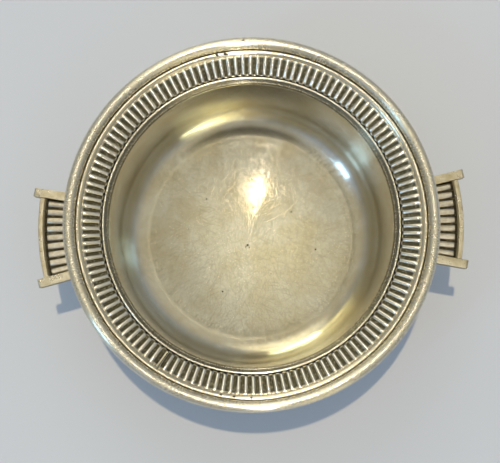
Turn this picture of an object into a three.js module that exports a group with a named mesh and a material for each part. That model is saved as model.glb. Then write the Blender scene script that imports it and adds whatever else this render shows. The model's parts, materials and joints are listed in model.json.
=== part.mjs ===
// A two-handled shaving bowl in silver-plated hollowware, in millimetres.
// +Z is up, the origin is on the table under the bowl's axis, and the handles point along X.
import * as THREE from 'three';

// Driving dimensions of the bowl
const rimRadius = 75.2; // outside of the edge bead
const overallHeight = 57; // table to the top of the edge bead
const wallThickness = 1.2;
const floorHeight = 5; // table to the inside floor
const floorRadius = 44.9; // flat part of the floor
const cornerRadius = 12; // inside corner between floor and wall
const mouthRadius = 57.7; // inside of the wall at the mouth
const wallTop = 46.9; // where the wall turns out into the flange
const fitGap = 0.3; // solder gap between neighbouring pieces

// The sloping border around the mouth
const borderSlope = THREE.MathUtils.degToRad(22);
const grooveRadius = 60.4; // groove between the ribs and the mouth moulding
const grooveHeight = 50.05;
const stripThickness = 1;
const stripOuterRadius = 70.3;
const filletInnerRadius = 68.5; // plain fillet between the bead and the ribs
const ribOuterRadius = 67.8;
const ribInnerRadius = 61.3;
const borderRibs = 138;
const ribProud = 0.2; // rib crest above the fillet's surface
const ribSunk = 0.6; // channel floor below it

// The edge bead: a half-round wire with a flat back
const beadRadius = 2.3;
const flangeRadius = 74;

// The foot
const footInnerRadius = 36.8;
const footOuterRadius = 40;

// The handles
const barAngle = THREE.MathUtils.degToRad(12.1); // each end bar from the handle's middle line
const handleLean = THREE.MathUtils.degToRad(0.8); // both handles sit a little to the near side
const barInner = 59.25;
const barOuter = 89.7;
const barWidth = 3.5;
const barTop = 45.6;
const barHeight = 4.4;
const barBevel = 0.5;
const arcInner = 84.4;
const arcOuter = 87;
const arcTop = 44.6;
const arcHeight = 2.8;
const panelInner = 60.3;
const panelTop = 43.9;
const panelBottom = 42.2;
const panelRibs = 9;
const panelRibHeight = 0.9;

// How finely round shapes are divided
const bowlSegments = 64;
const ringSegments = 80;

const borderRise = Math.tan(borderSlope);
const stripRise = stripThickness / Math.cos(borderSlope); // strip thickness measured upwards
const beadCentreRadius = rimRadius - beadRadius;
const beadCentreHeight = overallHeight - beadRadius;

// Height of the border's surface at a radius
function borderHeight(radius) {
  return grooveHeight + (radius - grooveRadius) * borderRise;
}

// Height of the flange's upper face, which the border strip is soldered to
function flangeTop(radius) {
  return borderHeight(Math.min(radius, stripOuterRadius)) - stripRise - fitGap;
}

function metal(colour, roughness) {
  return new THREE.MeshStandardMaterial({ color: colour, roughness, metalness: 1 });
}

function named(name, geometry, material) {
  const mesh = new THREE.Mesh(geometry, material);
  mesh.name = name;
  return mesh;
}

// A ring or bowl spun from a section drawn as radius and height, anticlockwise
function spun(points, segments) {
  const geometry = new THREE.LatheGeometry(points, segments);
  geometry.rotateX(Math.PI / 2);
  return geometry;
}

// The shell: floor, round corner, flared wall and the flange that carries the border
function bowlBody() {
  const cornerHeight = floorHeight + cornerRadius;
  const outerCorner = cornerRadius + wallThickness;
  const wallHead = mouthRadius + wallThickness;
  const flangeStart = wallHead + 1.3;
  const flangeStartHeight = flangeTop(flangeStart) - stripRise;
  const mouthTurn = mouthRadius + 1.1;
  const path = new THREE.Path();
  path.moveTo(0, floorHeight - wallThickness);
  path.lineTo(floorRadius, floorHeight - wallThickness);
  path.absarc(floorRadius, cornerHeight, outerCorner, -Math.PI / 2, 0, false);
  path.lineTo(wallHead, wallTop - 0.6);
  path.quadraticCurveTo(wallHead, flangeTop(wallHead) - stripRise, flangeStart, flangeStartHeight);
  path.lineTo(stripOuterRadius, flangeTop(stripOuterRadius) - stripRise);
  path.lineTo(flangeRadius, flangeTop(flangeRadius) - stripRise);
  path.lineTo(flangeRadius, flangeTop(flangeRadius));
  path.lineTo(stripOuterRadius, flangeTop(stripOuterRadius));
  path.lineTo(mouthTurn, flangeTop(mouthTurn));
  path.quadraticCurveTo(mouthRadius, flangeTop(mouthRadius), mouthRadius, wallTop);
  path.lineTo(floorRadius + cornerRadius, cornerHeight);
  path.absarc(floorRadius, cornerHeight, cornerRadius, 0, -Math.PI / 2, true);
  path.lineTo(0, floorHeight);
  return spun(path.getPoints(3), bowlSegments);
}

// Half-round edge wire, flat underneath where it sits on the flange
function outerBead() {
  const bottom = flangeTop(flangeRadius) + fitGap;
  const inner = rimRadius - 2 * beadRadius;
  const path = new THREE.Path();
  path.moveTo(inner + 0.5, bottom);
  path.lineTo(rimRadius - 0.6, bottom);
  path.quadraticCurveTo(rimRadius, bottom + 0.4, rimRadius, beadCentreHeight);
  path.absarc(beadCentreRadius, beadCentreHeight, beadRadius, 0, Math.PI, false);
  path.lineTo(inner, bottom + 0.5);
  path.lineTo(inner + 0.5, bottom);
  return spun(path.getPoints(3), ringSegments);
}

// Stamped strip: a plain fillet, then radial ribs with channels sunk between them
function flutedBorder() {
  const section = [
    [grooveRadius, -stripRise],
    [stripOuterRadius, -stripRise],
    [stripOuterRadius, 0],
    [filletInnerRadius, 0],
    [ribOuterRadius, 0],
    [ribInnerRadius, 0],
    [grooveRadius, -ribSunk],
    [grooveRadius, -stripRise],
  ];
  const points = section.map(([radius, offset]) => new THREE.Vector2(radius, borderHeight(radius) + offset));
  const geometry = new THREE.LatheGeometry(points, 2 * borderRibs);
  const position = geometry.attributes.position;
  for (let column = 0; column <= 2 * borderRibs; column++) {
    const offset = column % 2 === 0 ? ribProud : -ribSunk;
    section.forEach(([radius], row) => {
      const index = column * section.length + row;
      const inRibs = radius === ribOuterRadius || radius === ribInnerRadius;
      if (inRibs) position.setY(index, position.getY(index) + offset);
    });
  }
  geometry.rotateX(Math.PI / 2);
  return geometry;
}

// Smooth moulding that finishes the mouth, inside the ribs
function innerLip() {
  const outer = grooveRadius - fitGap;
  const inner = mouthRadius + 0.05;
  const crest = borderHeight(outer) + 0.4;
  const path = new THREE.Path();
  path.moveTo(inner + 0.35, flangeTop(inner) + 0.55);
  path.lineTo(outer, flangeTop(outer) + fitGap);
  path.lineTo(outer, borderHeight(outer) - 0.2);
  path.quadraticCurveTo(outer - 0.1, crest, outer - 0.5, crest);
  path.quadraticCurveTo(outer - 0.9, crest - 0.1, inner + 0.6, crest - 1.1);
  path.quadraticCurveTo(inner, crest - 1, inner, crest - 1.4);
  path.lineTo(inner, flangeTop(inner) + 0.7);
  path.lineTo(inner + 0.35, flangeTop(inner) + 0.55);
  return spun(path.getPoints(2), ringSegments);
}

// Foot ring: a splayed collar soldered under the floor
function footRing() {
  const top = floorHeight - wallThickness - fitGap;
  const path = new THREE.Path();
  path.moveTo(footOuterRadius - 2.6, 0);
  path.lineTo(footOuterRadius, 0);
  path.lineTo(footOuterRadius, 0.8);
  path.quadraticCurveTo(footOuterRadius - 1.6, 1.2, footOuterRadius - 1.8, top);
  path.lineTo(footInnerRadius, top);
  path.quadraticCurveTo(footInnerRadius, 1, footOuterRadius - 2.6, 0);
  return spun(path.getPoints(2), bowlSegments);
}

// One square end bar, running out from the wall under the rim, with softened edges
function handleBar() {
  const shape = new THREE.Shape();
  const tipCut = 0.8; // the outer end's top corner is worn round
  shape.moveTo(barInner, barTop - barHeight);
  shape.lineTo(barOuter, barTop - barHeight);
  shape.lineTo(barOuter, barTop - tipCut);
  shape.lineTo(barOuter - tipCut, barTop);
  shape.lineTo(barInner, barTop);
  shape.closePath();
  const geometry = new THREE.ExtrudeGeometry(shape, {
    depth: barWidth - 2 * barBevel,
    bevelThickness: barBevel,
    bevelSize: barBevel,
    bevelOffset: -barBevel,
    bevelSegments: 1,
  });
  geometry.rotateX(Math.PI / 2);
  geometry.translate(0, (barWidth - 2 * barBevel) / 2, 0);
  return geometry;
}

// Curved bar between the end bars, concentric with the bowl
function handleArcBar() {
  const halfBar = barWidth / 2 + fitGap;
  const reach = barAngle - Math.asin(halfBar / arcInner);
  const bevel = 0.45;
  const shape = new THREE.Shape();
  shape.absarc(0, 0, arcOuter, -reach, reach, false);
  shape.absarc(0, 0, arcInner, reach, -reach, true);
  shape.closePath();
  const geometry = new THREE.ExtrudeGeometry(shape, {
    depth: arcHeight - 2 * bevel,
    bevelThickness: bevel,
    bevelSize: bevel,
    bevelOffset: -bevel,
    bevelSegments: 1,
    curveSegments: 8,
  });
  geometry.translate(0, 0, arcTop - arcHeight + bevel);
  return geometry;
}

// Ribbed plate that fills the handle from the wall out to the arc bar
function handleRibPanel() {
  const stepsPerRib = 4;
  const columns = panelRibs * stepsPerRib;
  const crest = [0, 0.75, 1, 0.75]; // rib height across one rib, as a share
  const panelOuter = arcInner - fitGap;
  const endSlope = 0.9; // each rib closes down over this length
  const rows = [panelInner, panelInner + endSlope, panelOuter - endSlope, panelOuter];
  const halfBar = barWidth / 2 + fitGap;
  const geometry = new THREE.BoxGeometry(1, 1, 1, columns, rows.length - 1, 1);
  const position = geometry.attributes.position;
  for (let index = 0; index < position.count; index++) {
    const column = Math.round((position.getX(index) + 0.5) * columns);
    const row = Math.round((position.getY(index) + 0.5) * (rows.length - 1));
    const radius = rows[row];
    const halfAngle = barAngle - Math.asin(halfBar / radius);
    const angle = (1 - (2 * column) / columns) * halfAngle;
    const onRib = row > 0 && row < rows.length - 1;
    const rise = onRib ? crest[column % stepsPerRib] * panelRibHeight : 0;
    const top = panelTop - panelRibHeight + rise;
    const height = position.getZ(index) > 0 ? top : panelBottom;
    position.setXYZ(index, radius * Math.cos(angle), radius * Math.sin(angle), height);
  }
  return geometry;
}

const plate = metal(0xc9c1a4, 0.3);
const wornPlate = metal(0xb7ab86, 0.38);
const tarnishedPlate = metal(0x8f866a, 0.45);

const bowl = new THREE.Group();
bowl.add(named('bowl_body', bowlBody(), plate));
bowl.add(named('foot_ring', footRing(), wornPlate));
bowl.add(named('outer_bead', outerBead(), plate));
bowl.add(named('fluted_border', flutedBorder(), tarnishedPlate));
bowl.add(named('inner_lip', innerLip(), plate));

// Each handle is made along +X and its group is turned to its side. On the left a half turn swaps
// which end bar is on the far side, +Y.
const handles = [
  { side: 'right', turn: -handleLean, farBar: 1 },
  { side: 'left', turn: Math.PI + handleLean, farBar: -1 },
];
for (const { side, turn, farBar } of handles) {
  const handle = new THREE.Group();
  handle.rotation.z = turn;
  handle.add(named(`${side}_handle_arc_bar`, handleArcBar(), wornPlate));
  handle.add(named(`${side}_handle_rib_panel`, handleRibPanel(), tarnishedPlate));
  for (const place of [1, -1]) {
    const end = place === farBar ? 'far' : 'near';
    const bar = named(`${side}_handle_${end}_bar`, handleBar(), wornPlate);
    bar.rotation.z = place * barAngle;
    handle.add(bar);
  }
  bowl.add(handle);
}

export default bowl;
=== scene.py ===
"""A two-handled silver-plated shaving bowl: spun shell, soldered lugs, and a border of bead, fillet and ribs.

Everything is in metres, +Z up, with the bowl standing on z = 0 and its handles along X.
"""

import json
import math

import bpy
from mathutils import Matrix, Quaternion, Vector

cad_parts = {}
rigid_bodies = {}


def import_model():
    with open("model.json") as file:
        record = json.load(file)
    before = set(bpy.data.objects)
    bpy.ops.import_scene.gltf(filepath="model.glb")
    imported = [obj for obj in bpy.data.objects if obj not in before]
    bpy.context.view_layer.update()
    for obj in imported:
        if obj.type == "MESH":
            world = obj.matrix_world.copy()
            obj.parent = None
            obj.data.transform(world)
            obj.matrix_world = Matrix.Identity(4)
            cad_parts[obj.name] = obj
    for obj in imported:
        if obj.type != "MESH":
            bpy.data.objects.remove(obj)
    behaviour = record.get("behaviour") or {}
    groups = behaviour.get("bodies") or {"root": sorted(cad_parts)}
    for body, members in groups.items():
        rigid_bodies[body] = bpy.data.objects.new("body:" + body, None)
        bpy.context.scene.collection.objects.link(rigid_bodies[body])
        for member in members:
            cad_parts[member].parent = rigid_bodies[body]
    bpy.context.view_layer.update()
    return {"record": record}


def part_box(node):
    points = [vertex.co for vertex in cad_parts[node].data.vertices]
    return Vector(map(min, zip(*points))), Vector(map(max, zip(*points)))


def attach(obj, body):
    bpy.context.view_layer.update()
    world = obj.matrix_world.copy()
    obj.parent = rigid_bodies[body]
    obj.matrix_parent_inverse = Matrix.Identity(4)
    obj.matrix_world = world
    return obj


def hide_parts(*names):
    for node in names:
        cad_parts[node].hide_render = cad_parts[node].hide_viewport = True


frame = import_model()

MM = 0.001
TURN = 2 * math.pi

# ---------------------------------------------------------------- sizes, from the frame
bead_low, bead_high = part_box("outer_bead")
shell_low, shell_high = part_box("bowl_body")
strip_low, strip_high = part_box("fluted_border")
foot_low, foot_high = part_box("foot_ring")
mounts = {mount["name"]: mount for mount in frame["record"]["mounts"]}

RIM_RADIUS = bead_high.x
RIM_TOP = bead_high.z
FLANGE_RADIUS = shell_high.x
STRIP_OUTER = strip_high.x
FOOT_RADIUS = foot_high.x
FOOT_TOP = foot_high.z
FLOOR_HEIGHT = mounts["bowl_floor"]["pos_m"][2]
WALL = FLOOR_HEIGHT - shell_low.z

# the well of the bowl
MOUTH_RADIUS = 57.7 * MM
WALL_FOOT_RADIUS = 56.5 * MM  # where the wall's line would meet the floor
CORNER_RADIUS = 12 * MM

# the sloping border
SLOPE = math.tan(math.radians(22))
GROOVE_RADIUS = 60.4 * MM
GROOVE_HEIGHT = 50.05 * MM
STRIP_RISE = 1.08 * MM
RIBS = 138
SOLDER = 0.06 * MM  # what shows of a soldered joint between two pieces

PITCH = TURN / RIBS
RIBS_FROM = 61.4 * MM  # the ribs run between these two radii
RIBS_TO = 67.5 * MM
SEAM = math.radians(-125.5)  # where the ends of the strip meet
STRIP_TURN = math.radians(0.5)  # how far the strip was turned when it was soldered on

# the edge bead
BEAD_RADIUS = 2.3 * MM
BEAD_CENTRE = Vector((RIM_RADIUS - BEAD_RADIUS, 0, RIM_TOP - BEAD_RADIUS))

# the handles
bar_low, bar_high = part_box("right_handle_far_bar")
arc_low, arc_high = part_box("right_handle_arc_bar")
panel_low, panel_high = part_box("right_handle_rib_panel")
BAR_ANGLE = math.radians(12.1)
HANDLE_LEAN = math.radians(0.8)  # both handles sit a little to the near side
BAR_WIDTH = 3.5 * MM
BAR_INNER = 59.25 * MM
BAR_OUTER = 89.7 * MM
BAR_TOP = bar_high.z
BAR_BOTTOM = bar_low.z
ARC_OUTER = arc_high.x
ARC_INNER = ARC_OUTER - 2.6 * MM
ARC_TOP = arc_high.z
ARC_BOTTOM = arc_low.z
PANEL_INNER = 60.3 * MM
PANEL_TOP = panel_high.z
PANEL_BOTTOM = panel_low.z
PANEL_RIBS = 9
PANEL_RIB_HEIGHT = 0.9 * MM


def border_height(radius):
    """Height of the sloping border's surface at a radius."""
    return GROOVE_HEIGHT + (radius - GROOVE_RADIUS) * SLOPE


def flange_top(radius):
    """Height of the flange that the border is soldered to."""
    return border_height(min(radius, STRIP_OUTER)) - STRIP_RISE - SOLDER


# ---------------------------------------------------------------- modelling by operators
FACET = 7.5  # degrees turned by each facet of a rounded corner
FINE_FACET = 3
LARGE_ROUNDING = 5 * MM
RIM_STEPS = 256  # facets round the bowl
FOOT_STEPS = 192


def start(name):
    """A single point at the origin, in edit mode, ready to be drawn out."""
    bpy.ops.object.select_all(action="DESELECT")
    bpy.ops.mesh.primitive_plane_add(size=2 * MM)
    piece = bpy.context.object
    piece.name = name
    piece.data.name = name
    bpy.ops.object.mode_set(mode="EDIT")
    bpy.ops.mesh.select_all(action="SELECT")
    bpy.ops.mesh.merge(type="CENTER")
    bpy.ops.mesh.select_mode(type="VERT")
    return piece


def pick(piece, test, kind="VERT"):
    """Selects the points, edges or faces whose middle passes a test."""
    bpy.ops.object.mode_set(mode="EDIT")
    bpy.ops.mesh.select_mode(type=kind)
    bpy.ops.mesh.select_all(action="DESELECT")
    bpy.ops.object.mode_set(mode="OBJECT")
    mesh = piece.data
    points = mesh.vertices
    if kind == "VERT":
        for point in points:
            point.select = test(point.co)
    elif kind == "EDGE":
        for edge in mesh.edges:
            edge.select = test((points[edge.vertices[0]].co + points[edge.vertices[1]].co) / 2)
    else:
        for face in mesh.polygons:
            face.select = test(face.center)
    bpy.ops.object.mode_set(mode="EDIT")


def near(place, reach=0.002 * MM):
    """A test for pick: within reach of a place."""
    return lambda point: (point - place).length < reach


def draw_section(name, corners, closed=True):
    """A section in the XZ plane, drawn corner by corner as (radius, height, rounding), in metres."""
    piece = start(name)
    places = [Vector((radius, 0, height)) for radius, height, _ in corners]
    bpy.ops.transform.translate(value=places[0])
    for before, after in zip(places, places[1:]):
        bpy.ops.mesh.extrude_region_move(TRANSFORM_OT_translate={"value": after - before})
    if closed:
        bpy.ops.mesh.select_all(action="SELECT")
        pick(piece, lambda point: near(places[0])(point) or near(places[-1])(point))
        bpy.ops.mesh.edge_face_add()
    count = len(corners)
    for index, (radius, height, rounding) in enumerate(corners):
        if not rounding:
            continue
        one = (places[index - 1] - places[index]).normalized()
        other = (places[(index + 1) % count] - places[index]).normalized()
        turn = math.pi - one.angle(other)
        pick(piece, near(places[index]))
        facet = FINE_FACET if rounding > LARGE_ROUNDING else FACET
        arc_steps = max(2, round(math.degrees(turn) / facet))
        bpy.ops.mesh.bevel(
            offset=rounding * math.tan(turn / 2),
            segments=arc_steps,
            affect="VERTICES",
            clamp_overlap=False,
        )
    return piece


def spin_up(piece, steps, angle=TURN):
    """Spins the drawn section about the bowl's axis and closes it."""
    bpy.ops.mesh.select_all(action="SELECT")
    bpy.ops.mesh.spin(steps=steps, angle=angle, center=(0, 0, 0), axis=(0, 0, 1))
    bpy.ops.mesh.select_all(action="SELECT")
    bpy.ops.mesh.remove_doubles(threshold=0.001 * MM)
    bpy.ops.mesh.normals_make_consistent(inside=False)
    bpy.ops.object.mode_set(mode="OBJECT")
    return piece


visible_pieces = []


def finish_piece(piece, stands_for, finish, sharp=35):
    """Smooths a piece, gives it its finish and fixes it to the frame."""
    bpy.ops.object.mode_set(mode="OBJECT")
    bpy.ops.object.select_all(action="DESELECT")
    piece.select_set(True)
    bpy.context.view_layer.objects.active = piece
    bpy.ops.object.transform_apply(location=True, rotation=True, scale=True)
    bpy.ops.object.shade_smooth_by_angle(angle=math.radians(sharp))
    piece.data.materials.clear()
    piece.data.materials.append(finish)
    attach(piece, "root")
    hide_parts(stands_for)
    visible_pieces.append(piece.name)
    return piece


# ---------------------------------------------------------------- materials
def linear(code):
    """An sRGB hex colour as the linear colour that the shaders take."""
    parts = [int(code[i:i + 2], 16) / 255 for i in (0, 2, 4)]
    return [c / 12.92 if c <= 0.04045 else ((c + 0.055) / 1.055) ** 2.4 for c in parts] + [1]


def node(tree, kind, settings=None, links=None):
    """Adds one node, with its settings, and its inputs as values or as links."""
    new = tree.nodes.new(kind)
    for name, value in (settings or {}).items():
        setattr(new, name, value)
    for name, value in (links or {}).items():
        if isinstance(value, bpy.types.NodeSocket):
            tree.links.new(value, new.inputs[name])
        else:
            new.inputs[name].default_value = value
    return new


class Surface:
    """The start of one finish: its node tree, and where a point is on the bowl."""

    def __init__(self, name):
        self.material = bpy.data.materials.new(name)
        self.material.use_nodes = True
        self.tree = self.material.node_tree
        self.tree.nodes.clear()
        self.place = self.add("ShaderNodeTexCoord").outputs["Object"]
        split = self.add("ShaderNodeSeparateXYZ", links={0: self.place})
        self.height = split.outputs["Z"]
        flat = self.add("ShaderNodeCombineXYZ", links={"X": split.outputs["X"], "Y": split.outputs["Y"]})
        self.radius = self.add(
            "ShaderNodeVectorMath", {"operation": "LENGTH"}, {0: flat.outputs[0]}
        ).outputs["Value"]
        self.outward = self.vector("NORMALIZE", flat.outputs[0])
        # across the turning marks, on the floor, the walls and the mouldings alike
        self.across = self.vector("ADD", self.outward, (0, 0, 0.6))

    def add(self, kind, settings=None, links=None):
        return node(self.tree, kind, settings, links)

    def math(self, operation, *values):
        return self.add("ShaderNodeMath", {"operation": operation}, dict(enumerate(values))).outputs[0]

    def vector(self, operation, *values):
        return self.add("ShaderNodeVectorMath", {"operation": operation}, dict(enumerate(values))).outputs[0]

    def ramp(self, value, low, high, to_low=0.0, to_high=1.0):
        """A value carried smoothly from one range to another."""
        links = {"Value": value, "From Min": low, "From Max": high, "To Min": to_low, "To Max": to_high}
        return self.add("ShaderNodeMapRange", {"interpolation_type": "SMOOTHSTEP"}, links).outputs["Result"]

    def blotches(self, width, detail=5.0):
        """Soft cloudy noise, about 0.3 to 0.7, with patches of a width."""
        links = {"Vector": self.place, "Scale": 1 / width, "Detail": detail, "Roughness": 0.6}
        return self.add("ShaderNodeTexNoise", None, links).outputs["Fac"]

    def ring_lines(self, width, run):
        """Turning marks: fine across the radius and the height, and long around the bowl."""
        rise = self.math("ADD", self.radius, self.height)
        lift = self.add("ShaderNodeCombineXYZ", links={"Z": rise})
        polar = self.vector("ADD", self.outward, lift.outputs[0])
        scaled = self.vector("MULTIPLY", polar, (run, run, 1 / width))
        links = {"Vector": scaled, "Scale": 1.0, "Detail": 4.0, "Roughness": 0.65}
        return self.add("ShaderNodeTexNoise", None, links).outputs["Fac"]

    def scratches(self, turns, width, length, across):
        """Hairline scratches that run a few ways.

        Gives 0 on the plain metal and 1 in a scratch, and the way that the metal there spreads light:
        across the scratch in a scratch, and as given elsewhere.
        """
        wander = self.add("ShaderNodeTexNoise", None, {"Vector": self.place, "Scale": 1 / (30 * MM)})
        shift = self.vector("MULTIPLY", wander.outputs["Color"], (9 * MM,) * 3)
        bent = self.vector("ADD", self.place, shift)
        marks = 0.0
        for turn in turns:
            angle = math.radians(turn)
            turned = self.add(
                "ShaderNodeMapping", None,
                {"Vector": bent, "Rotation": (0, 0, angle), "Location": (turn * MM, 0, 0)},
            )
            scaled = self.vector("MULTIPLY", turned.outputs[0], (1 / length, 1 / width, 1 / length))
            lines = self.add("ShaderNodeTexNoise", None, {"Vector": scaled, "Scale": 1.0, "Detail": 2.0})
            mark = self.ramp(lines.outputs["Fac"], 0.58, 0.66)
            marks = self.math("MAXIMUM", marks, mark)
            links = {"Factor": mark, "A": across, "B": (math.sin(angle), math.cos(angle), 0.01)}
            across = self.add("ShaderNodeMix", {"data_type": "VECTOR"}, links).outputs["Result"]
        return marks, across

    def blend(self, amount, one, other):
        links = {"Factor": amount, "A": one, "B": other}
        return self.add("ShaderNodeMix", {"data_type": "RGBA"}, links).outputs["Result"]

    def pits(self, places):
        """Small round pits: 1 in a pit, 0 outside, for places given as x, y, z and size."""
        inside = 0.0
        for x, y, z, size in places:
            links = {0: self.place, 1: (x, y, z)}
            away = self.add("ShaderNodeVectorMath", {"operation": "DISTANCE"}, links).outputs["Value"]
            inside = self.math("MAXIMUM", inside, self.ramp(away, size * 1.3, size * 0.5))
        return inside

    def above_border(self):
        """How far a point lies above the sloping border's surface, in metres, and minus when below it."""
        slope = self.math("MULTIPLY_ADD", self.radius, SLOPE, GROOVE_HEIGHT - GROOVE_RADIUS * SLOPE)
        return self.math("SUBTRACT", self.height, slope)

    def metal(self, colour, roughness, bump_height, bump_depth, across=None, spread=0.0):
        """Joins colour, roughness and relief into a metal whose gloss spreads one way."""
        bump = self.add(
            "ShaderNodeBump", None, {"Height": bump_height, "Strength": 1.0, "Distance": bump_depth}
        )
        shader = self.add(
            "ShaderNodeBsdfPrincipled", None,
            {"Base Color": colour, "Metallic": 1.0, "Roughness": roughness,
             "Anisotropic": spread, "Normal": bump.outputs["Normal"]},
        )
        if across:
            self.tree.links.new(across, shader.inputs["Tangent"])
        self.add("ShaderNodeOutputMaterial", None, {"Surface": shader.outputs[0]})
        return self.material


CLEAN_SILVER = linear("F1ECDE")
WARM_SILVER = linear("E4DAC0")
TARNISH_AND_PAINTED_SHADE = linear("5A523C")
GRIME = linear("2E2A1E")
# x, y and size in mm
WELL_PITS = [
    (-1.4, -3.8, 0.45), (-2.2, -4.6, 0.3), (-0.6, -4.9, 0.25), (29, -7.1, 0.35), (19, 10.4, 0.3),
    (-18.9, 17.9, 0.3), (-13.5, -24.2, 0.35), (8.5, -17.2, 0.2), (-27.5, 4.6, 0.22), (12.5, 26.1, 0.25),
]

# turn in degrees, radius and size in mm
BEAD_KNOCKS = [(90.2, 73.3, 0.35), (89.6, 72.6, 0.3), (89.9, 73.8, 0.25), (2, 70.9, 0.4)]
FILLET_SPECKS = [
    (102.9, 69.3, 0.5), (99.1, 69.6, 0.55), (96.4, 69.6, 0.6), (95.7, 69.3, 0.5),
    (-102.8, 69.4, 0.5), (-98.5, 69.4, 0.55), (-92.8, 69.5, 0.5), (-117, 61.2, 0.5),
]


def on_ring(turn, radius, height, size):
    """A flaw's place from its turn about the bowl, as x, y, z and size in metres."""
    turn = math.radians(turn)
    return (radius * MM * math.cos(turn), radius * MM * math.sin(turn), height * MM, size * MM)


def spun_plate():
    """Spun, buffed and long-used silver plate: soft turning rings, hairlines each way, pits, warm clouds."""
    skin = Surface("spun_silver_plate")
    rings = skin.ring_lines(0.9 * MM, 2.2)
    bands = skin.ring_lines(5 * MM, 1.2)
    on_wall = skin.ramp(skin.height, FLOOR_HEIGHT + 0.3 * MM, FLOOR_HEIGHT + 3 * MM)
    marks, across = skin.scratches((12, 38, 71, 98, 127, 158), 0.22 * MM, 6 * MM, skin.across)
    marks = skin.math("MULTIPLY", marks, skin.ramp(on_wall, 0.0, 1.0, 1.0, 0.15))
    links = {"Factor": on_wall, "A": across, "B": skin.across}
    across = skin.add("ShaderNodeMix", {"data_type": "VECTOR"}, links).outputs["Result"]
    colour = skin.blend(skin.ramp(skin.blotches(16 * MM), 0.35, 0.7), CLEAN_SILVER, WARM_SILVER)
    pits = skin.pits([(x * MM, y * MM, FLOOR_HEIGHT, size * MM) for x, y, size in WELL_PITS])
    colour = skin.blend(skin.math("MULTIPLY", marks, 0.3), colour, linear("C4BBA2"))
    colour = skin.blend(pits, colour, GRIME)
    # painted shade: the flange under the border is coloured dark, standing in for the shade under the strip
    # and in the gap beside the bead
    painted_shade_under_border = skin.math("MULTIPLY", skin.ramp(skin.radius, 58 * MM, 58.4 * MM),
                       skin.ramp(skin.above_border(), -3 * MM, -2.4 * MM))
    colour = skin.blend(painted_shade_under_border, colour, TARNISH_AND_PAINTED_SHADE)
    satin = skin.ramp(skin.radius, 40 * MM, 45 * MM, 0.05, 0.17)
    rough = skin.math("ADD", satin, skin.ramp(rings, 0.35, 0.7, 0.0, 0.006))
    rough = skin.math("MULTIPLY_ADD", marks, 0.05, rough)
    rough = skin.math("MAXIMUM", rough, skin.math("MULTIPLY", pits, 0.6))
    relief = skin.math("MULTIPLY_ADD", marks, -0.12, rings)
    relief = skin.math("MULTIPLY_ADD", bands, 2.0, relief)
    relief = skin.math("MULTIPLY_ADD", pits, -6.0, relief)
    return skin.metal(colour, rough, relief, 0.003 * MM, across, 1.0)


def polished_plate():
    """Polished edge mouldings: bright silver plate, fine rubbed hairlines, old grime with painted shade in
    the joints, and painted shade on the lip's inner slope.
    """
    skin = Surface("polished_silver_plate")
    marks, _ = skin.scratches((0, 47, 95, 140), 0.3 * MM, 3 * MM, skin.across)
    across = skin.across
    clouds = skin.blotches(9 * MM)
    colour = skin.blend(skin.ramp(clouds, 0.35, 0.7), linear("EDE6D2"), WARM_SILVER)
    # painted shade: the lip's inner slope is coloured darker, standing in for the dim reflection it shows
    slope = skin.ramp(skin.radius, 59.7 * MM, 59.3 * MM)
    colour = skin.blend(slope, colour, linear("9A927C"))
    # old grime in the joints, which also stands as painted shade in the crevices beside the bead, the lip and
    # the strip
    deep = skin.ramp(skin.above_border(), 0.12 * MM, -0.25 * MM)
    inside = skin.ramp(skin.radius, 71.6 * MM, 71 * MM)
    beside = skin.ramp(skin.radius, 60.1 * MM, 60.25 * MM)
    joint_grime_and_shade = skin.math("MULTIPLY", deep, skin.math("MULTIPLY", inside, beside))
    colour = skin.blend(joint_grime_and_shade, colour, TARNISH_AND_PAINTED_SHADE)
    rough = skin.ramp(clouds, 0.35, 0.7, 0.24, 0.29)
    rough = skin.math("MULTIPLY_ADD", marks, 0.02, rough)
    knocks = skin.pits([on_ring(turn, radius, 56.9, size) for turn, radius, size in BEAD_KNOCKS])
    colour = skin.blend(knocks, colour, GRIME)
    relief = skin.math("MULTIPLY_ADD", knocks, 300.0, marks)
    return skin.metal(colour, rough, relief, -0.0003 * MM, across, 1.0)


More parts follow.
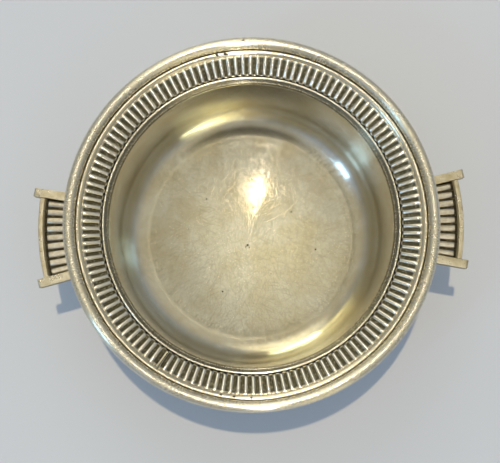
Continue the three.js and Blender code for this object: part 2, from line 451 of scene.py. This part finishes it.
def struck_plate():
    """Struck border strip: ribs painted lighter along their crests as a painted highlight, channels left with
    olive-brown tarnish.
    """
    skin = Surface("struck_silver_plate")
    clouds = skin.blotches(2.2 * MM, 3.0)
    above = skin.above_border()
    uneven = skin.math("MULTIPLY_ADD", clouds, 0.3 * MM, above)
    deep = skin.ramp(uneven, 0.0, -0.3 * MM)
    # painted highlight: the rib crests are coloured lighter, standing in for the light they catch
    crest = skin.ramp(above, 0.0, 0.2 * MM)
    colour = skin.blend(crest, WARM_SILVER, linear("FBF7EC"))
    spots = skin.ramp(skin.blotches(0.9 * MM, 2.0), 0.5, 0.68)
    dark = skin.blend(spots, linear("6E6850"), linear("A79F86"))
    colour = skin.blend(deep, colour, dark)
    # grime fills the row of small hollows at the ribs' inner ends, the seam and the pinholes in the fillet
    ends = skin.ramp(skin.radius, 61.4 * MM, 61.0 * MM)
    hollow = skin.math("MULTIPLY", ends, skin.ramp(above, 0.1 * MM, -0.2 * MM))
    specks = skin.pits([
        on_ring(turn, radius, border_height(radius * MM) / MM, size) for turn, radius, size in FILLET_SPECKS
    ])
    aside = skin.add(
        "ShaderNodeVectorMath", {"operation": "DOT_PRODUCT"},
        {0: skin.place, 1: (-math.sin(SEAM), math.cos(SEAM), 0)},
    ).outputs["Value"]
    facing = skin.add(
        "ShaderNodeVectorMath", {"operation": "DOT_PRODUCT"},
        {0: skin.place, 1: (math.cos(SEAM), math.sin(SEAM), 0)},
    ).outputs["Value"]
    seam = skin.math("MULTIPLY", skin.ramp(skin.math("ABSOLUTE", aside), 0.16 * MM, 0.08 * MM),
                     skin.ramp(facing, 0.0, 10 * MM))
    filled = skin.math("MAXIMUM", skin.math("MAXIMUM", hollow, specks), seam)
    colour = skin.blend(filled, colour, GRIME)
    marks, _ = skin.scratches((10, 80, 130), 0.25 * MM, 2 * MM, skin.across)
    rough = skin.ramp(deep, 0.0, 1.0, 0.2, 0.45)
    rough = skin.math("MULTIPLY_ADD", marks, 0.06, rough)
    return skin.metal(colour, rough, marks, -0.002 * MM, skin.across, 0.9)


def lug_plate():
    """Handle bars: cast lugs, the plate worn thin over warm base metal, with small knocks and hairlines."""
    skin = Surface("worn_silver_plate")
    clouds = skin.blotches(5 * MM)
    colour = skin.blend(skin.ramp(clouds, 0.35, 0.7), linear("E6DCC2"), linear("CDBE98"))
    specks = skin.ramp(skin.blotches(0.8 * MM, 2.0), 0.66, 0.74)
    # painted shade: upright faces get a darker colour, standing in for the shade on the bars' sides
    normal = skin.add("ShaderNodeNewGeometry").outputs["Normal"]
    upright = skin.add("ShaderNodeSeparateXYZ", links={0: normal}).outputs["Z"]
    colour = skin.blend(skin.ramp(upright, 0.45, 0.1), colour, linear("8C8366"))
    colour = skin.blend(specks, colour, TARNISH_AND_PAINTED_SHADE)
    marks, _ = skin.scratches((20, 70, 120), 0.25 * MM, 2.5 * MM, skin.across)
    rough = skin.ramp(clouds, 0.35, 0.7, 0.26, 0.38)
    rough = skin.math("MULTIPLY_ADD", marks, 0.15, rough)
    relief = skin.math("MULTIPLY_ADD", specks, -3.0, skin.math("MULTIPLY", marks, -1.0))
    return skin.metal(colour, rough, relief, 0.008 * MM)


def panel_plate():
    """Ribbed handle panels: crests rubbed bright, with dark tarnish packed between the ribs."""
    skin = Surface("tarnished_silver_plate")
    clouds = skin.blotches(2.2 * MM, 3.0)
    below = skin.math("SUBTRACT", skin.height, PANEL_TOP)
    uneven = skin.math("MULTIPLY_ADD", clouds, 0.3 * MM, below)
    deep = skin.ramp(uneven, -0.15 * MM, -0.6 * MM)
    colour = skin.blend(skin.ramp(clouds, 0.35, 0.7), linear("EAE2D0"), linear("DACDB4"))
    spots = skin.ramp(skin.blotches(0.9 * MM, 2.0), 0.5, 0.68)
    colour = skin.blend(deep, colour, skin.blend(spots, linear("4E4735"), linear("857A5E")))
    rough = skin.ramp(deep, 0.0, 1.0, 0.33, 0.5)
    return skin.metal(colour, rough, clouds, 0.05 * MM)


well_finish = spun_plate()
edge_finish = polished_plate()
border_finish = struck_plate()
lug_finish = lug_plate()
panel_finish = panel_plate()


# ---------------------------------------------------------------- the shell
def bowl_shell():
    """Floor, round corner, wall and flange, spun from one section."""
    wall_head = MOUTH_RADIUS + WALL
    flange_thickness = STRIP_RISE
    corners = [
        (0, FLOOR_HEIGHT - WALL, 0),
        (WALL_FOOT_RADIUS - CORNER_RADIUS, FLOOR_HEIGHT - WALL, 0),
        (WALL_FOOT_RADIUS + WALL, FLOOR_HEIGHT - WALL, CORNER_RADIUS + WALL),
        (wall_head, flange_top(wall_head) - flange_thickness, 1.4 * MM),
        (STRIP_OUTER, flange_top(STRIP_OUTER) - flange_thickness, 2 * MM),
        (FLANGE_RADIUS, flange_top(FLANGE_RADIUS) - flange_thickness, 0.4 * MM),
        (FLANGE_RADIUS, flange_top(FLANGE_RADIUS), 0.3 * MM),
        (STRIP_OUTER, flange_top(STRIP_OUTER), 0),
        (MOUTH_RADIUS, flange_top(MOUTH_RADIUS), 0.7 * MM),
        (WALL_FOOT_RADIUS, FLOOR_HEIGHT, CORNER_RADIUS),
        (WALL_FOOT_RADIUS - CORNER_RADIUS, FLOOR_HEIGHT, 0),
        (WALL_FOOT_RADIUS - 2 * CORNER_RADIUS, FLOOR_HEIGHT, 0),
        (0, FLOOR_HEIGHT, 0),
    ]
    piece = draw_section("shell_of_the_bowl", corners, closed=False)
    spin_up(piece, RIM_STEPS)
    return finish_piece(piece, "bowl_body", well_finish)


# ---------------------------------------------------------------- rim, border and foot
def edge_bead():
    """Half-round wire along the flange's edge, flat where it is soldered down."""
    bottom = flange_top(FLANGE_RADIUS) + SOLDER
    inner = RIM_RADIUS - 2 * BEAD_RADIUS
    corners = [
        (inner, bottom, 0.5 * MM),
        (RIM_RADIUS, bottom, 0.9 * MM),
        (RIM_RADIUS, RIM_TOP, BEAD_RADIUS),
        (inner, RIM_TOP, BEAD_RADIUS),
    ]
    piece = draw_section("edge_bead_wire", corners)
    spin_up(piece, RIM_STEPS)
    return finish_piece(piece, "outer_bead", edge_finish)


def mouth_lip():
    """Smooth moulding round the mouth: a crest by the groove, a slope, a small step and a fine bead."""
    outer = GROOVE_RADIUS - 0.1 * MM
    crest = border_height(outer) + 0.4 * MM
    seat = flange_top(outer) + SOLDER
    corners = [
        (MOUTH_RADIUS + 0.45 * MM, flange_top(MOUTH_RADIUS) + SOLDER + 0.1 * MM, 0),
        (outer, seat, 0),
        (outer, crest, 0.3 * MM),
        (outer - 0.7 * MM, crest, 0.35 * MM),
        (outer - 1.85 * MM, crest - 1.3 * MM, 0.35 * MM),
        (outer - 2.1 * MM, crest - 1.2 * MM, 0.12 * MM),
        (outer - 2.3 * MM, crest - 1.3 * MM, 0.12 * MM),
        (MOUTH_RADIUS + 0.05 * MM, crest - 1.75 * MM, 0.1 * MM),
        (MOUTH_RADIUS + 0.05 * MM, flange_top(MOUTH_RADIUS) + 0.4 * MM, 0),
    ]
    piece = draw_section("mouth_lip_moulding", corners)
    spin_up(piece, RIM_STEPS)
    return finish_piece(piece, "inner_lip", edge_finish)


def standing_foot():
    """Splayed foot ring under the floor."""
    top = FOOT_TOP
    corners = [
        (FOOT_RADIUS - 2.7 * MM, 0, 0.3 * MM),
        (FOOT_RADIUS, 0, 0.25 * MM),
        (FOOT_RADIUS, 0.9 * MM, 0.35 * MM),
        (FOOT_RADIUS - 1.7 * MM, 1.3 * MM, 0.8 * MM),
        (FOOT_RADIUS - 1.8 * MM, top, 0),
        (FOOT_RADIUS - 3.2 * MM, top, 0),
        (FOOT_RADIUS - 3.3 * MM, 0.9 * MM, 0.5 * MM),
    ]
    piece = draw_section("standing_foot", corners)
    spin_up(piece, FOOT_STEPS)
    return finish_piece(piece, "foot_ring", lug_finish)


def draw_cell(name, stations, shares, pitch):
    """A flat wedge of one pitch, with points at each radius and at each share of the pitch."""
    bpy.ops.object.select_all(action="DESELECT")
    rows, columns = len(stations) - 1, len(shares) - 1
    bpy.ops.mesh.primitive_grid_add(x_subdivisions=rows, y_subdivisions=columns, size=2)
    piece = bpy.context.object
    piece.name = name
    piece.data.name = name
    for index, share in enumerate(shares):
        across = 2 * index / columns - 1
        pick(piece, lambda point: abs(point.y - across) < 0.001)
        bpy.ops.transform.translate(value=(0, math.tan(share * pitch) - across, 0))
    for index, (radius, height) in enumerate(stations):
        along = 2 * index / rows - 1
        pick(piece, lambda point: abs(point.x - along) < 0.001)
        bpy.ops.transform.resize(value=(1, radius, 1), center_override=(0, 0, 0))
        bpy.ops.transform.translate(value=(radius - along, 0, height))
    return piece


def shape_cell(piece, pitch, shares, inner, outer, move):
    """Moves the points of a cell on some shares of its pitch, between two radii."""
    slopes = [math.tan(share * pitch) for share in shares]

    def chosen(point):
        on_share = any(abs(abs(point.y / point.x) - slope) < 0.0001 for slope in slopes)
        return on_share and inner < point.x < outer

    pick(piece, chosen)
    bpy.ops.transform.translate(value=move)


def ribbed_strip():
    """Struck strip: a plain fillet, and ribs with a sunk channel between each two, from one repeated cell."""
    radii = (60.4, 60.75, 61.1, 61.45, 64.5, 67.4, 67.7, 68.05, 68.35, 68.65, 69.4, 70.0, 70.3)
    stations = [(radius * MM, border_height(radius * MM)) for radius in radii]
    half = (0, 0.16, 0.26, 0.36, 0.5)
    shares = [-share for share in reversed(half[1:])] + list(half)
    piece = draw_cell("ribbed_border_strip", stations, shares, PITCH)

    def shape(on, inner, outer, move):
        shape_cell(piece, PITCH, on, inner * MM, outer * MM, [value * MM for value in move])

    shape(half, 60.3, 60.5, (0, 0, -0.45))
    shape(half, 60.7, 60.8, (0, 0, 0.03))
    shape((0, 0.16), 61.4, 67.5, (0, 0, -0.48))
    shape((0.16,), 61.4, 67.5, (0, 0, -0.2))
    shape((0.26,), 61.0, 67.8, (0, 0, -0.06))
    shape((0.36,), 61.4, 67.5, (0, 0, 0.15))
    shape((0.5,), 61.4, 67.5, (0, 0, 0.2))
    shape((0.36, 0.5), 60.3, 60.5, (0.38, 0, 0))
    shape((0.36, 0.5), 60.7, 60.8, (0.3, 0, -0.06))
    shape((0.36, 0.5), 68.0, 68.1, (-0.12, 0, 0))
    shape(half, 68.0, 68.1, (0, 0, 0.05))
    shape(half, 68.3, 68.4, (0, 0, -0.25))
    shape(half, 69.35, 69.45, (0, 0, 0.08))
    shape(half, 69.95, 70.05, (0, 0, -0.08))
    shape(half, 70.25, 70.35, (0, 0, -0.35))
    bpy.ops.mesh.select_all(action="SELECT")
    bpy.ops.mesh.spin(
        steps=RIBS - 1, dupli=True, angle=TURN * (RIBS - 1) / RIBS, center=(0, 0, 0), axis=(0, 0, 1)
    )
    bpy.ops.mesh.select_all(action="SELECT")
    bpy.ops.mesh.remove_doubles(threshold=0.02 * MM)
    # struck by hand, so no two ribs are quite alike
    pick(piece, lambda point: RIBS_FROM < point.xy.length < RIBS_TO)
    bpy.ops.transform.vertex_random(offset=0.045 * MM, uniform=0.0, normal=0.0, seed=4)
    # the rib on the seam was cut short and pushed aside when the ends were joined
    seam_way = Vector((math.cos(SEAM - STRIP_TURN), math.sin(SEAM - STRIP_TURN), 0))
    across_seam = Vector((-seam_way.y, seam_way.x, 0))

    def beside_seam(point):
        on_ribs = RIBS_FROM < point.dot(seam_way) < RIBS_TO
        return on_ribs and abs(point.dot(across_seam)) < 1.8 * MM

    pick(piece, beside_seam)
    bpy.ops.transform.translate(value=across_seam * 0.35 * MM + Vector((0, 0, -0.22 * MM)))
    # the strip's two edges are turned down, and its back is closed
    bpy.ops.mesh.select_all(action="DESELECT")
    bpy.ops.mesh.select_mode(type="EDGE")
    bpy.ops.mesh.select_non_manifold(extend=False)
    bpy.ops.mesh.extrude_region_move(TRANSFORM_OT_translate={"value": (0, 0, -0.6 * MM)})
    bpy.ops.mesh.bridge_edge_loops()
    bpy.ops.mesh.select_all(action="SELECT")
    bpy.ops.mesh.normals_make_consistent(inside=False)
    bpy.ops.object.mode_set(mode="OBJECT")
    piece.rotation_euler.z = STRIP_TURN
    return finish_piece(piece, "fluted_border", border_finish, 50)


# ---------------------------------------------------------------- handles
def end_bar(side, end, turn, seed):
    """Square bar running out from the wall, its edges softened and its tip's corners worn round."""
    bpy.ops.object.select_all(action="DESELECT")
    bpy.ops.mesh.primitive_cube_add(size=1)
    piece = bpy.context.object
    piece.name = f"{side}_{end}_lug_bar"
    piece.data.name = piece.name
    bpy.ops.object.mode_set(mode="EDIT")
    bpy.ops.transform.resize(value=(BAR_OUTER - BAR_INNER, BAR_WIDTH, BAR_TOP - BAR_BOTTOM))
    middle = Vector(((BAR_OUTER + BAR_INNER) / 2, 0, (BAR_TOP + BAR_BOTTOM) / 2))
    bpy.ops.transform.translate(value=middle)
    tip_top = Vector((BAR_OUTER, 0, BAR_TOP))
    pick(piece, near(tip_top), "EDGE")
    bpy.ops.mesh.bevel(offset=0.7 * MM, segments=3, affect="EDGES")

    def on_side(point):
        return abs(point.y) > BAR_WIDTH / 2 - 0.01 * MM

    pick(piece, lambda point: on_side(point) and point.x > BAR_OUTER - 0.01 * MM, "EDGE")
    bpy.ops.mesh.bevel(offset=0.5 * MM, segments=3, affect="EDGES")
    pick(piece, lambda point: on_side(point) and point.z > BAR_TOP - 0.8 * MM, "EDGE")
    bpy.ops.mesh.bevel(offset=0.6 * MM, segments=3, affect="EDGES", clamp_overlap=True)
    for share in range(1, 9):
        bpy.ops.mesh.select_all(action="SELECT")
        cut = Vector((BAR_INNER + (BAR_OUTER - 1.2 * MM - BAR_INNER) * share / 8, 0, 0))
        bpy.ops.mesh.bisect(plane_co=cut, plane_no=(1, 0, 0))
    pick(piece, lambda point: point.z > BAR_BOTTOM + 1 * MM and point.x > BAR_INNER + 5 * MM)
    bpy.ops.transform.vertex_random(offset=0.06 * MM, uniform=0.0, normal=0.0, seed=seed)
    bpy.ops.object.mode_set(mode="OBJECT")
    piece.rotation_euler.z = turn
    return finish_piece(piece, f"{side}_handle_{end}_bar", lug_finish, 40)


def arc_bar(side, turn):
    """Curved bar between the end bars: a flat outer strip and a sloping inner edge."""
    reach = BAR_ANGLE - math.asin((BAR_WIDTH / 2 + SOLDER) / ARC_INNER)
    corners = [
        (ARC_INNER, ARC_BOTTOM, 0.2 * MM),
        (ARC_OUTER, ARC_BOTTOM, 0.3 * MM),
        (ARC_OUTER, ARC_TOP, 0.3 * MM),
        (ARC_INNER + 0.85 * MM, ARC_TOP, 0.12 * MM),
        (ARC_INNER, ARC_TOP - 0.55 * MM, 0.15 * MM),
    ]
    piece = draw_section(f"{side}_curved_lug_bar", corners)
    spin_up(piece, 24, 2 * reach)
    bpy.ops.object.mode_set(mode="EDIT")
    bpy.ops.mesh.select_all(action="SELECT")
    bpy.ops.mesh.fill_holes(sides=0)
    bpy.ops.mesh.normals_make_consistent(inside=False)
    bpy.ops.object.mode_set(mode="OBJECT")
    piece.rotation_euler.z = turn + reach
    return finish_piece(piece, f"{side}_handle_arc_bar", lug_finish, 40)


def rib_panel(side, turn, seed):
    """Ribbed plate between the bars: nine round-topped ribs with closed ends, made as one repeated cell."""
    side_gap = BAR_WIDTH / 2 + SOLDER
    outer = ARC_INNER - SOLDER
    reach = BAR_ANGLE - math.asin(side_gap / outer)
    pitch = 2 * reach / PANEL_RIBS
    floor = PANEL_TOP - PANEL_RIB_HEIGHT
    radii = (PANEL_INNER, PANEL_INNER + 0.9 * MM, 70 * MM, 76 * MM, 80 * MM, 83.4 * MM, 83.9 * MM, outer)
    half = (0, 0.15, 0.27, 0.35, 0.41, 0.5)
    shares = [-share for share in reversed(half[1:])] + list(half)
    piece = draw_cell(f"{side}_ribbed_panel", [(radius, floor) for radius in radii], shares, pitch)
    for share, rise in ((0, 1), (0.15, 0.96), (0.27, 0.8), (0.35, 0.5), (0.41, 0.15)):
        shape_cell(piece, pitch, (share,), 61 * MM, 83.6 * MM, (0, 0, rise * PANEL_RIB_HEIGHT))
    bpy.ops.mesh.select_all(action="SELECT")
    bpy.ops.mesh.spin(
        steps=PANEL_RIBS - 1, dupli=True, angle=pitch * (PANEL_RIBS - 1), center=(0, 0, 0), axis=(0, 0, 1)
    )
    bpy.ops.mesh.select_all(action="SELECT")
    bpy.ops.mesh.remove_doubles(threshold=0.02 * MM)
    pick(piece, lambda point: point.z > floor + 0.1 * MM)
    bpy.ops.transform.vertex_random(offset=0.06 * MM, uniform=0.0, normal=0.0, seed=seed)
    bpy.ops.object.mode_set(mode="OBJECT")
    piece.rotation_euler.z = pitch * (PANEL_RIBS - 1) / 2
    bpy.ops.object.transform_apply(location=False, rotation=True, scale=False)
    # the sides are cut parallel to the bars
    bpy.ops.object.mode_set(mode="EDIT")
    for way in (-1, 1):
        outward = Vector((-math.sin(BAR_ANGLE), way * math.cos(BAR_ANGLE), 0))
        bpy.ops.mesh.select_all(action="SELECT")
        bpy.ops.mesh.bisect(plane_co=-outward * side_gap, plane_no=outward, clear_outer=True)
    bpy.ops.mesh.select_all(action="DESELECT")
    bpy.ops.mesh.select_mode(type="EDGE")
    bpy.ops.mesh.select_non_manifold(extend=False)
    bpy.ops.mesh.extrude_region_move(TRANSFORM_OT_translate={"value": (0, 0, PANEL_BOTTOM - floor)})
    bpy.ops.transform.resize(value=(1, 1, 0), center_override=(0, 0, PANEL_BOTTOM))
    bpy.ops.mesh.edge_face_add()
    bpy.ops.mesh.select_all(action="SELECT")
    bpy.ops.mesh.normals_make_consistent(inside=False)
    bpy.ops.object.mode_set(mode="OBJECT")
    piece.rotation_euler.z = turn
    return finish_piece(piece, f"{side}_handle_rib_panel", panel_finish, 50)


def handle(side, turn, far_way, seed):
    """One lug handle: two end bars, the curved bar and the ribbed panel between them."""
    end_bar(side, "far", turn + far_way * BAR_ANGLE, seed)
    end_bar(side, "near", turn - far_way * BAR_ANGLE, seed + 1)
    arc_bar(side, turn)
    rib_panel(side, turn, seed + 2)


bowl_shell()
edge_bead()
mouth_lip()
standing_foot()
ribbed_strip()
handle("right", -HANDLE_LEAN, 1, 11)
handle("left", math.pi + HANDLE_LEAN, -1, 21)


# ---------------------------------------------------------------- floor, light and camera
def studio():
    bpy.ops.object.select_all(action="DESELECT")
    bpy.ops.mesh.primitive_plane_add(size=3)
    floor = bpy.context.object
    floor.name = "pale_table"
    material = bpy.data.materials.new("pale_cloth")
    material.use_nodes = True
    shader = material.node_tree.nodes["Principled BSDF"]
    shader.inputs["Base Color"].default_value = linear("DCDAD6")
    shader.inputs["Roughness"].default_value = 0.9
    floor.data.materials.append(material)

    lamp_distance = 1.63
    side_distance = 1.5
    lamp_way = Vector((-0.03, 0.185, 1)).normalized()
    glint_way = Vector((0.032, 0.173, 1)).normalized()
    world = bpy.data.worlds.new("soft_room")
    bpy.context.scene.world = world
    world.use_nodes = True
    tree = world.node_tree
    back = tree.nodes["Background"]
    aim = node(tree, "ShaderNodeTexCoord").outputs["Generated"]
    split = node(tree, "ShaderNodeSeparateXYZ", links={0: aim})
    ramp = node(tree, "ShaderNodeValToRGB", None, {"Fac": split.outputs["Z"]})
    ramp.color_ramp.elements[0].color = linear("65758A")
    ramp.color_ramp.elements[1].color = linear("B2AFA0")
    for height, colour in ((0.3, "7C8A9C"), (0.55, "9C9D98"), (0.75, "B3AE9D"), (0.9, "BDB8A6")):
        ramp.color_ramp.elements.new(height).color = linear(colour)
    sky = ramp.outputs["Color"]

    def patch(base, way, inner, outer, colour, blend):
        """Adds a soft round patch of light or dark to the room, from inner to outer degrees off its way."""
        towards = node(
            tree, "ShaderNodeVectorMath", {"operation": "DOT_PRODUCT"},
            {0: aim, 1: Vector(way).normalized()},
        )
        amount = node(
            tree, "ShaderNodeMapRange", {"interpolation_type": "SMOOTHSTEP"},
            {"Value": towards.outputs["Value"],
             "From Min": math.cos(math.radians(outer)), "From Max": math.cos(math.radians(inner))},
        )
        mixed = node(
            tree, "ShaderNodeMix", {"data_type": "RGBA", "blend_type": blend, "clamp_result": False},
            {"Factor": amount.outputs["Result"], "A": base, "B": colour},
        )
        return mixed.outputs["Result"]

    # brighter parts of the room, low on the near and far sides
    sky = patch(sky, (0.45, -1, 0.35), 5, 16, [1.4, 1.3, 0.95, 1], "MIX")
    sky = patch(sky, (-0.2, 1, 0.8), 5, 22, [1.5, 1.42, 1.1, 1], "MIX")
    # whoever stands over the bowl
    sky = patch(sky, (0, -0.45, 1), 9, 21, linear("3E3A2E"), "MIX")
    sky = patch(sky, (0.01, -0.12, 1), 2.5, 6.5, linear("2E2B22"), "MIX")
    for side in (0.04, 0.13, 0.22):
        sky = patch(sky, (-0.17, side, 1), 1, 4.5, linear("5A543C"), "MIX")
    # the glow round the lamp, spread towards the near side
    sky = patch(sky, (0.022, 0.12, 1), 0, 4.8, [0.36, 0.34, 0.24, 1], "ADD")
    sky = patch(sky, (0.06, 0.06, 1), 0, 6, [0.18, 0.17, 0.12, 1], "ADD")
    sky = patch(sky, glint_way + Vector((-0.005, -0.012, 0)), 0, 0.8, [1.7, 1.65, 1.5, 1], "ADD")
    # daylight from the side, low and blue
    sky = patch(sky, (-0.75, -0.6, 0.6), 5, 30, [0.02, 0.08, 0.2, 1], "ADD")
    # the light that reaches the table is cooler than what shows in the metal
    on_table = node(tree, "ShaderNodeLightPath").outputs["Is Diffuse Ray"]
    links = {"Factor": on_table, "A": sky, "B": (0.93, 1.17, 1.72, 1)}
    sky = node(
        tree, "ShaderNodeMix", {"data_type": "RGBA", "blend_type": "MULTIPLY", "clamp_result": False}, links
    ).outputs["Result"]
    tree.links.new(sky, back.inputs["Color"])
    back.inputs["Strength"].default_value = 1.0

    def area(name, away, size, power, colour):
        light = bpy.data.lights.new(name, "AREA")
        light.shape = "ELLIPSE"
        light.size, light.size_y = size
        light.energy = power
        light.color = colour
        lamp = bpy.data.objects.new(name, light)
        bpy.context.scene.collection.objects.link(lamp)
        place = Vector(away) + Vector((0, 0, 0.03))
        lamp.location = place
        lamp.rotation_mode = "QUATERNION"
        lamp.rotation_quaternion = (-Vector(away)).to_track_quat("-Z", "Y")
        return lamp

    def bearing(turn, rise, distance):
        level = distance * math.cos(math.radians(rise))
        height = distance * math.sin(math.radians(rise))
        return (level * math.cos(math.radians(turn)), level * math.sin(math.radians(turn)), height)

    # one lamp throws the shadows and isn't seen in the metal, which has lamps of its own
    warm = (1, 0.86, 0.62)
    shadow_lamp = area("ceiling_lamp", lamp_way * lamp_distance, (0.036, 0.036), 11.2, warm)
    shadow_lamp.visible_glossy = False
    # the rough rim needs a long strong lamp, and the smooth well a small weak one
    rim_pieces = bpy.data.collections.new("rim_pieces")
    well_pieces = bpy.data.collections.new("well_pieces")
    for piece in bpy.context.scene.objects:
        if piece.name in visible_pieces:
            (well_pieces if piece.name == "shell_of_the_bowl" else rim_pieces).objects.link(piece)
    rim_lamp = area("rim_glint_lamp", Vector((0.03, -0.45, 1.6)), (0.05, 2.6), 7.5, (1, 0.97, 0.92))
    rim_lamp.data.shape = "RECTANGLE"
    rim_lamp.light_linking.receiver_collection = rim_pieces
    well_lamp = area("well_glint_lamp", glint_way * lamp_distance, (0.03, 0.03), 0.03, warm)
    well_lamp.light_linking.receiver_collection = well_pieces
    for name, turn, rise, power in (("near_glow", -66, 5, 2.4), ("far_glow", 106, 8, 3.2)):
        glow = area(name, bearing(turn, rise, side_distance), (0.7, 0.5), power, (0.95, 1, 0.62))
        glow.data.use_shadow = False
        glow.data.cycles.use_multiple_importance_sampling = False
        glow.light_linking.receiver_collection = well_pieces
    window = area("window", bearing(207, 38, side_distance), (0.22, 0.35), 1.6, (0.4, 0.68, 1))
    window.data.shape = "RECTANGLE"


def camera():
    """Almost overhead, a little to the near side."""
    rim_plane = BEAD_CENTRE.z
    eye = Vector((-8.1 * MM, -49.1 * MM, rim_plane + 380 * MM))
    target = Vector((-1.7 * MM, -19.6 * MM, rim_plane))
    roll = math.radians(-2.651)
    focal_in_widths = 961.7 / 500
    lens = bpy.data.cameras.new("camera")
    lens.sensor_width = 36
    lens.lens = focal_in_widths * lens.sensor_width
    lens.shift_y = 0.08
    lens.clip_start = 0.01
    holder = bpy.data.objects.new("camera", lens)
    bpy.context.scene.collection.objects.link(holder)
    aim = (target - eye).normalized()
    across = aim.cross(Vector((0, 1, 0))).normalized()
    above = across.cross(aim)
    upright = Matrix((across, above, -aim)).transposed().to_quaternion()
    holder.location = eye
    holder.rotation_mode = "QUATERNION"
    holder.rotation_quaternion = upright @ Quaternion((0, 0, 1), roll)
    bpy.context.scene.camera = holder


studio()
camera()
bpy.context.scene.view_settings.view_transform = "Standard"
